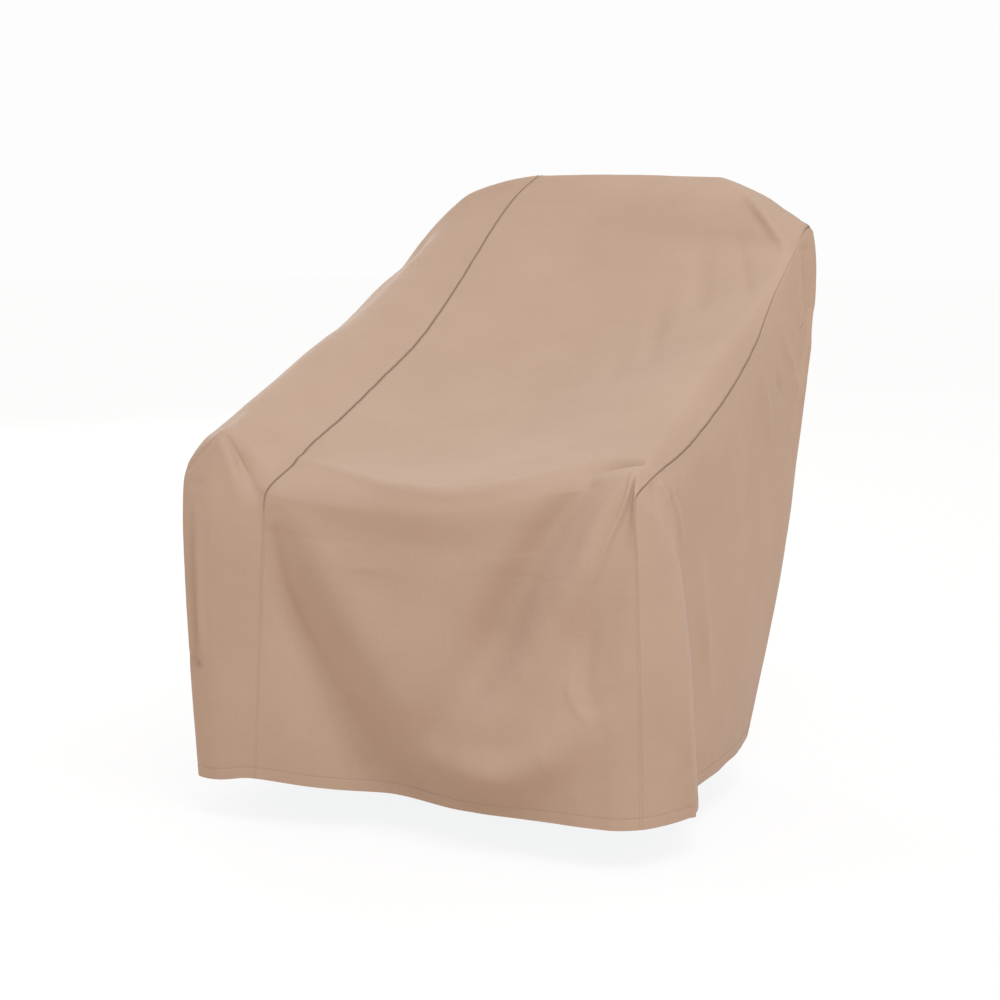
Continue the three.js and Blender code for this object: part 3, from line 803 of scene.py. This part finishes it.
def weave_group() -> bpy.types.NodeTree:
    """Make the group that draws a plain weave on the measure of the cloth."""
    sheet, given = new_group(
        "plain weave", {"Cloth": "NodeSocketVector", "Threads": "NodeSocketFloat"}, ("Height", "Slub")
    )
    measure = {0: given["Cloth"], "Scale": given["Threads"]}
    scaled = sheet.add("ShaderNodeVectorMath", measure, operation="SCALE").outputs[0]
    parts = sheet.add("ShaderNodeSeparateXYZ", {0: scaled})
    warp, weft = (
        sheet.math("ABSOLUTE", sheet.math("SINE", sheet.math("MULTIPLY", parts.outputs[axis], math.pi)))
        for axis in (0, 1)
    )
    over = sheet.add("ShaderNodeTexChecker", {"Vector": scaled, "Scale": 1.0}).outputs[1]
    rise, foot = 0.4, 0.6
    crests = [
        sheet.math("MULTIPLY", round_way, sheet.math("MULTIPLY_ADD", long_way, rise, foot))
        for round_way, long_way in ((warp, weft), (weft, warp))
    ]
    slow, quick = 0.012, 0.30
    slubs = [
        sheet.noise(sheet.stretch(scaled, grain), scale=1.0, detail=2.0)
        for grain in ((slow, quick, 1.0), (quick, slow, 1.0))
    ]
    sheet.add("NodeGroupOutput", {
        "Height": sheet.blend(over, *crests),
        "Slub": sheet.math("MULTIPLY", sheet.math("ADD", *slubs), 0.5),
    })
    return sheet.tree


def mottle_group() -> bpy.types.NodeTree:
    """Make the group for the cloth's soft clouds of colour, its specks and its small soft wrinkles."""
    outputs = ("Clouds", "Specks", "Wrinkles")
    sheet, given = new_group("soft mottling", {"Place": "NodeSocketVector"}, outputs)
    place = given["Place"]
    upright = (1.0, 1.0, 0.45)
    small_share = 0.25
    broad = sheet.noise(sheet.stretch(place, upright), scale=17.0, detail=3.0)
    small = sheet.noise(place, scale=60.0, detail=2.0)
    sheet.add("NodeGroupOutput", {
        "Clouds": sheet.noise(place, scale=7.0, detail=3.0, roughness=0.55),
        "Specks": sheet.noise(place, scale=420.0, detail=2.0, roughness=0.6),
        "Wrinkles": sheet.math("MULTIPLY_ADD", small, small_share, broad),
    })
    return sheet.tree


class Finishes:
    """The materials of the cover, made once and shared by its pieces."""

    def __init__(self) -> None:
        """Make the groups and the materials."""
        self.weave = weave_group()
        self.mottle = mottle_group()
        self.outside = self.cloth(OUTSIDE)
        self.inside = self.cloth(INSIDE)
        self.thread = self.sewing_thread(THREAD)

    def mottling(self, sheet: NodeSheet) -> bpy.types.bpy_prop_collection:
        """Add the mottling on the object's own places to a sheet and return its outputs."""
        place = sheet.add("ShaderNodeTexCoord").outputs["Object"]
        return sheet.add("ShaderNodeGroup", {"Place": place}, node_tree=self.mottle).outputs

    def cloth(self, finish: ClothFinish) -> bpy.types.Material:
        """Make the woven cloth.

        Args:
            finish: The colours and strengths.

        Returns:
            The material. It reads the measure of the cloth, how much shade is painted along a seam and how
            far the hem is.
        """
        material, sheet = new_material(finish.name)
        measure = sheet.add("ShaderNodeUVMap", uv_map="cloth").outputs[0]
        # The "seam" attribute is painted shade: it darkens the cloth in a seam's groove, where shadow falls.
        seam, hem = (
            sheet.add("ShaderNodeAttribute", attribute_name=name).outputs["Fac"] for name in ("seam", "hem")
        )
        mottle = self.mottling(sheet)
        thread_inputs = {"Cloth": measure, "Threads": finish.threads}
        weave = sheet.add("ShaderNodeGroup", thread_inputs, node_tree=self.weave).outputs

        clouds = sheet.spread(mottle["Clouds"], SOFT_RANGE, finish.clouds)
        slubs = sheet.spread(weave["Slub"], SHARP_RANGE, finish.slubs)
        threads = sheet.math("MULTIPLY", weave["Height"], finish.thread_share)
        pale = sheet.math("ADD", sheet.math("ADD", clouds, slubs), threads)
        groove = sheet.math("MULTIPLY", seam, finish.groove_shade_share)
        # Painted shade in the crease along the hem's stitching: the cloth is taken towards the shade colour
        # there.
        from_stitches = sheet.math("ABSOLUTE", sheet.math("SUBTRACT", hem, HEM_BAND))
        crease = sheet.spread(from_stitches, finish.crease_shade_width, (finish.crease_shade_share, 0.0))
        plain = sheet.tint(pale, finish.base, finish.light)
        roughness = (finish.roughness - finish.smoother, finish.roughness + finish.rougher)
        soft = sheet.bump(mottle["Wrinkles"], finish.wrinkle_strength, finish.wrinkle_distance)
        relief = sheet.math("MULTIPLY_ADD", weave["Slub"], finish.slub_height, weave["Height"])
        shader = sheet.add("ShaderNodeBsdfPrincipled", {
            # The shade colour here is painted shade, in the seam grooves and in the hem's crease.
            "Base Color": sheet.tint(sheet.math("MAXIMUM", groove, crease), plain, finish.shade),
            "Roughness": sheet.spread(mottle["Specks"], SOFT_RANGE, roughness),
            "Normal": sheet.bump(relief, finish.weave_strength, finish.weave_distance, Normal=soft),
            "Sheen Weight": finish.sheen,
            "Sheen Roughness": finish.sheen_roughness,
            "Specular IOR Level": finish.specular,
        })
        sheet.add("ShaderNodeOutputMaterial", {"Surface": shader.outputs[0]})
        return material

    def sewing_thread(self, finish: ThreadFinish) -> bpy.types.Material:
        """Make the sewing thread.

        Args:
            finish: The colours, roughness and bump.

        Returns:
            The material.
        """
        material, sheet = new_material(finish.name)
        specks = self.mottling(sheet)["Specks"]
        twist = sheet.spread(specks, SHARP_RANGE, (0.0, 1.0))
        shader = sheet.add("ShaderNodeBsdfPrincipled", {
            "Base Color": sheet.tint(twist, finish.dark, finish.base),
            "Roughness": sheet.spread(twist, (0.0, 1.0), finish.roughness),
            "Normal": sheet.bump(specks, finish.bump_strength, finish.bump_distance),
        })
        sheet.add("ShaderNodeOutputMaterial", {"Surface": shader.outputs[0]})
        return material


def link(name: str, data: bpy.types.ID, *materials: bpy.types.Material) -> bpy.types.Object:
    """Put a mesh, a light or a camera into the scene as an object at the origin.

    Args:
        name: The object's name.
        data: What it shows. A mesh is already in place.
        *materials: A mesh's materials, in the order of their slots.

    Returns:
        The object.
    """
    data.name = name
    for material in materials:
        data.materials.append(material)
    thing = bpy.data.objects.new(name, data)
    bpy.context.scene.collection.objects.link(thing)
    return thing


def finished_mesh(bm: bmesh.types.BMesh) -> bpy.types.Mesh:
    """Turn what bmesh has made into a mesh, and free it."""
    mesh = bpy.data.meshes.new("mesh")
    bm.to_mesh(mesh)
    bm.free()
    return mesh


@dataclass
class Stitching:
    """Rows of lockstitch that lie on the outer face of a panel. Sizes are millimetres.

    A stitch points from the place at reach before it to the place at reach after it. The row beside a seam
    is looked for in the edge_columns of the grid that are nearest to the seam.
    """

    pitch: float = 3.6
    length: float = 2.7
    width: float = 0.75
    height: float = 0.55
    seam_inset: float = 4.4
    lift: float = 0.05
    reach: float = 0.8
    edge_columns: int = 9

    def stitch(self) -> tuple[np.ndarray, list[list[int]]]:
        """Make one stitch and return its points and faces."""
        bm = bmesh.new()
        bmesh.ops.create_uvsphere(bm, u_segments=6, v_segments=4, radius=0.5)
        points = np.array([vertex.co for vertex in bm.verts])[:, [2, 0, 1]]
        faces = [[vertex.index for vertex in face.verts] for face in bm.faces]
        bm.free()
        return points * (self.length, self.width, self.height), faces

    def hem_row(self, patch: Patch, downwards: bool) -> tuple[np.ndarray, np.ndarray]:
        """Find the line of the hem's stitching on a patch.

        Args:
            patch: The folded patch.
            downwards: Whether the hem is at the end of the rows, as at the back of a strip.

        Returns:
            The line's places and its normals.
        """
        rows = len(patch.hem) // 2 if patch.seam.min() < NO_SEAM else len(patch.hem)
        near = slice(None, -rows - 1, -1) if downwards else slice(rows)
        line, outward = (
            np.array([
                along_line([HEM_BAND], way, values)[0]
                for way, values in zip(patch.hem[near].T, np.swapaxes(whole[near], 0, 1))
            ])
            for whole in (patch.places, patch.normals)
        )
        return line, outward

    def seam_row(self, patch: Patch, seam: Rail) -> tuple[np.ndarray, np.ndarray]:
        """Find the line of stitching beside a seam of a strip.

        Args:
            patch: The folded strip.
            seam: The seam that it follows.

        Returns:
            The line's places and its normals.
        """
        at_start = (seam is Rail.LEFT_SEAM) == (patch.panel is Panel.CENTRE)
        columns = range(self.edge_columns) if at_start else range(-self.edge_columns, 0)
        distances = patch.seam[0, columns]
        order = np.argsort(distances)
        inner = int(np.searchsorted(distances[order], self.seam_inset))
        near, far = columns[order[inner - 1]], columns[order[inner]]
        share = (self.seam_inset - patch.seam[0, near]) / (patch.seam[0, far] - patch.seam[0, near])
        line = patch.places[:, near] * (1 - share) + patch.places[:, far] * share
        outward = patch.normals[:, near] * (1 - share) + patch.normals[:, far] * share
        return line, outward

    def sew(self, rows: list[tuple[np.ndarray, np.ndarray]]) -> bpy.types.Mesh:
        """Repeat the stitch along some rows.

        Args:
            rows: The places and normals of each row.

        Returns:
            All the stitches as one mesh, in metres in the model's frame.
        """
        points, faces = self.stitch()
        sewn: list[np.ndarray] = []
        for line, outward in rows:
            way = way_along(line)
            at = np.arange(self.pitch / 2, way[-1], self.pitch)
            up = unit(along_line(at, way, outward))
            run = unit(along_line(at + self.reach, way, line) - along_line(at - self.reach, way, line))
            middle = along_line(at, way, line) + up * (THICKNESS / 2 + self.lift)
            axes = np.stack([run, np.cross(up, run), up], axis=1)
            sewn.append(middle[:, None] + np.einsum("pk,skc->spc", points, axes))
        all_points = np.vstack(sewn)
        count = len(all_points)
        flat = (all_points.reshape(-1, 3) - ORIGIN) * MM
        repeated = [[corner + i * len(points) for corner in face] for i in range(count) for face in faces]
        mesh = bpy.data.meshes.new("stitches")
        mesh.from_pydata(flat.tolist(), [], repeated)
        mesh.shade_smooth()
        return mesh


@dataclass(frozen=True)
class Cut:
    """The flat cut of a panel: its width, length and area, and the pieces that it hangs from."""

    cloth: str
    stitching: str
    flat: tuple[float, float]
    area: float
    hangs_from: tuple[str, ...]


CUTS = {
    Panel.CENTRE: Cut("centre_cloth", "centre_stitching", (0.69, 2.54), 1.47, ()),
    Panel.LEFT: Cut("left_cloth", "left_stitching", (1.13, 1.4), 0.915, ("centre_cloth",)),
    Panel.RIGHT: Cut("right_cloth", "right_stitching", (0.91, 1.07), 0.525, ("centre_cloth",)),
}


@dataclass
class ChairCover:
    """The whole cover: three sewn panels of cloth and their stitching.

    thickness and weld are in metres, and the reach and fade of the shade painted along a seam in millimetres.
    """

    finishes: Finishes
    drape: Drape = field(default_factory=Drape)
    stitching: Stitching = field(default_factory=Stitching)
    thickness: float = THICKNESS * MM
    weld: float = 0.00001
    shade_reach: float = 3.4
    shade_fade: float = 2.0

    def build(self) -> None:
        """Fold the cloth, and make the sheet and stitching of each panel."""
        patches = Lie().patches()
        self.drape.apply(patches)
        for panel in Panel:
            own = [patch for patch in patches if patch.panel is panel]
            cloth = self.sheet(panel, own)
            stitches = self.stitches(panel, own)

    def grid_mesh(self, patch: Patch) -> bpy.types.Mesh:
        """Make the mesh of a patch, with its measure, its distances and its place.

        Args:
            patch: The folded patch.

        Returns:
            The mesh, in metres in the model's frame.
        """
        rows, columns = patch.seam.shape
        bm = bmesh.new()
        bmesh.ops.create_grid(bm, x_segments=columns - 1, y_segments=rows - 1, size=1.0)
        mesh = finished_mesh(bm)
        grid = np.empty(len(mesh.vertices) * 3)
        mesh.vertices.foreach_get("co", grid)
        grid = grid.reshape(-1, 3)
        column = np.rint((grid[:, 0] + 1) / 2 * (columns - 1)).astype(int)
        row = np.rint((grid[:, 1] + 1) / 2 * (rows - 1)).astype(int)
        placed = (patch.places[row, column] - ORIGIN) * MM
        mesh.vertices.foreach_set("co", placed.ravel())
        # Painted shade along each seam's groove, kept in the "seam" attribute for the material.
        painted_seam_shade = patch.ease * np.clip((self.shade_reach - patch.seam) / self.shade_fade, 0, 1)
        for name, values in (("seam", painted_seam_shade), ("hem", patch.hem)):
            mesh.attributes.new(name, "FLOAT", "POINT").data.foreach_set("value", values[row, column])
        corners = np.empty(len(mesh.loops), int)
        mesh.loops.foreach_get("vertex_index", corners)
        measure = patch.cloth[row, column][corners]
        mesh.uv_layers.new(name="cloth").uv.foreach_set("vector", measure.ravel())
        return mesh

    def sheet(self, panel: Panel, patches: list[Patch]) -> bpy.types.Object:
        """Join the patches of a panel into one thick sheet of cloth.

        Args:
            panel: The panel.
            patches: Its folded patches.

        Returns:
            The finished piece, which stands for the panel's node.
        """
        bm = bmesh.new()
        for patch in patches:
            bm.from_mesh(self.grid_mesh(patch))
        bmesh.ops.remove_doubles(bm, verts=bm.verts, dist=self.weld)
        bm.edges.index_update()
        border = [edge.index for edge in bm.edges if edge.is_boundary]
        mesh = finished_mesh(bm)
        mesh.shade_smooth()
        for edge in border:
            mesh.edges[edge].use_edge_sharp = True
        piece = link(CUTS[panel].cloth, mesh, self.finishes.outside, self.finishes.inside)
        thick = piece.modifiers.new("thickness", "SOLIDIFY")
        thick.thickness = self.thickness
        thick.offset = 0.0
        thick.material_offset = 1
        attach(piece, "root")
        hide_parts(panel.value)
        LOG.info("%s: %d points", piece.name, len(mesh.vertices))
        return piece

    def stitches(self, panel: Panel, patches: list[Patch]) -> bpy.types.Object:
        """Sew the hem and the seams of a panel.

        Args:
            panel: The panel.
            patches: Its folded patches, the strip first.

        Returns:
            The stitching as one piece.
        """
        strip = patches[0]
        rows = [self.stitching.hem_row(strip, downwards) for downwards in (False, True)]
        rows += [self.stitching.hem_row(wall, False) for wall in patches[1:]]
        if panel is Panel.CENTRE:
            rows += [self.stitching.seam_row(strip, seam) for seam in (Rail.LEFT_SEAM, Rail.RIGHT_SEAM)]
        piece = link(CUTS[panel].stitching, self.stitching.sew(rows), self.finishes.thread)
        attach(piece, "root")
        LOG.info("%s: %d faces", piece.name, len(piece.data.polygons))
        return piece


@dataclass(frozen=True)
class Lamp:
    """A square area light that faces the cover. Places and sizes are in metres, and power is in watts."""

    name: str
    place: Place
    size: float
    power: float
    colour: tuple[float, float, float] = (0.86, 0.95, 1.0)
    aim: Place = (0.0, -0.4, -0.5)

    def hang(self) -> None:
        """Put the light into the scene."""
        data = bpy.data.lights.new(self.name, "AREA")
        data.size = self.size
        data.energy = self.power
        data.color = self.colour
        lamp = link(self.name, data)
        lamp.location = self.place
        way = Vector(self.aim) - Vector(self.place)
        lamp.rotation_euler = way.to_track_quat("-Z", "Y").to_euler()


@dataclass
class Studio:
    """The camera, a wide pale floor and soft light.

    Sizes are in metres, angles in degrees, and lens and sensor in millimetres. The camera falls below the
    level and turns to the left. floor_share is how much of the floor's look is glow.
    """

    camera_place: Place = (1.773, -4.557, 0.157)
    camera_fall: float = 8.69
    camera_turn: float = 23.86
    lens: float = 97.2
    sensor: float = 36.0
    floor_height: float = -1.014
    floor_radius: float = 12.0
    floor_sides: int = 96
    floor_colour: Colour = (0.86, 0.765, 0.695, 1)
    floor_share: float = 0.85
    glow_colour: Colour = (0.99, 1.0, 1.01, 1)
    floor_glow: float = 1.04
    room_colour: Colour = (1.0, 0.94, 0.88, 1)
    room_light: float = 0.775
    room_white: float = 0.98
    key: Lamp = Lamp("key", (2.1, -2.7, 3.9), 2.2, 128.0)
    back: Lamp = Lamp("back light", (-3.5, 2.6, 1.1), 2.0, 60.0)

    def add_camera(self) -> None:
        """Set the camera where the photograph was taken."""
        data = bpy.data.cameras.new("camera")
        data.lens = self.lens
        data.sensor_width = self.sensor
        data.sensor_fit = "HORIZONTAL"
        camera = link("camera", data)
        camera.location = self.camera_place
        camera.rotation_euler = (math.radians(90 - self.camera_fall), 0, math.radians(self.camera_turn))
        bpy.context.scene.camera = camera

    def add_floor(self) -> None:
        """Lay a wide round floor."""
        bm = bmesh.new()
        bmesh.ops.create_circle(bm, cap_ends=True, segments=self.floor_sides, radius=self.floor_radius)
        bmesh.ops.translate(bm, verts=bm.verts, vec=(0, 0, self.floor_height))
        link("floor", finished_mesh(bm), self.floor_finish())

    def floor_finish(self) -> bpy.types.Material:
        """Make the floor's white, which seems lit from below like a photographer's table."""
        material, sheet = new_material("pale floor")
        paint = sheet.add("ShaderNodeBsdfDiffuse", {"Color": self.floor_colour}).outputs[0]
        glow_inputs = {"Color": self.glow_colour, "Strength": self.floor_glow}
        glow = sheet.add("ShaderNodeEmission", glow_inputs).outputs[0]
        seen = sheet.add("ShaderNodeLightPath").outputs["Is Camera Ray"]
        share = sheet.math("MULTIPLY", seen, self.floor_share)
        both = sheet.add("ShaderNodeMixShader", {0: share, 1: paint, 2: glow}).outputs[0]
        sheet.add("ShaderNodeOutputMaterial", {"Surface": both})
        return material

    def add_room(self) -> None:
        """Surround the scene with even light, which looks plain white behind the object."""
        world = bpy.data.worlds.new("room light")
        bpy.context.scene.world = world
        world.use_nodes = True
        sheet = NodeSheet(world.node_tree)
        seen = sheet.add("ShaderNodeLightPath").outputs["Is Camera Ray"]
        room = sheet.add("ShaderNodeBackground", {
            "Color": sheet.tint(seen, self.room_colour, WHITE),
            "Strength": sheet.blend(seen, self.room_light, self.room_white),
        })
        sheet.add("ShaderNodeOutputWorld", {"Surface": room.outputs[0]})

    def light(self) -> None:
        """Light the room evenly, with a soft key from the right front and a weak light from behind."""
        bpy.context.scene.view_settings.view_transform = "Standard"
        self.add_room()
        self.key.hang()
        self.back.hang()


def main() -> None:
    """Build the studio and the cover, and write how large the cover came out."""
    logging.basicConfig(level=logging.INFO, format="%(name)s: %(message)s")
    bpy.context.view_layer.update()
    studio = Studio()
    studio.add_camera()
    studio.add_floor()
    studio.light()
    ChairCover(Finishes()).build()


if __name__ == "__main__":
    main()
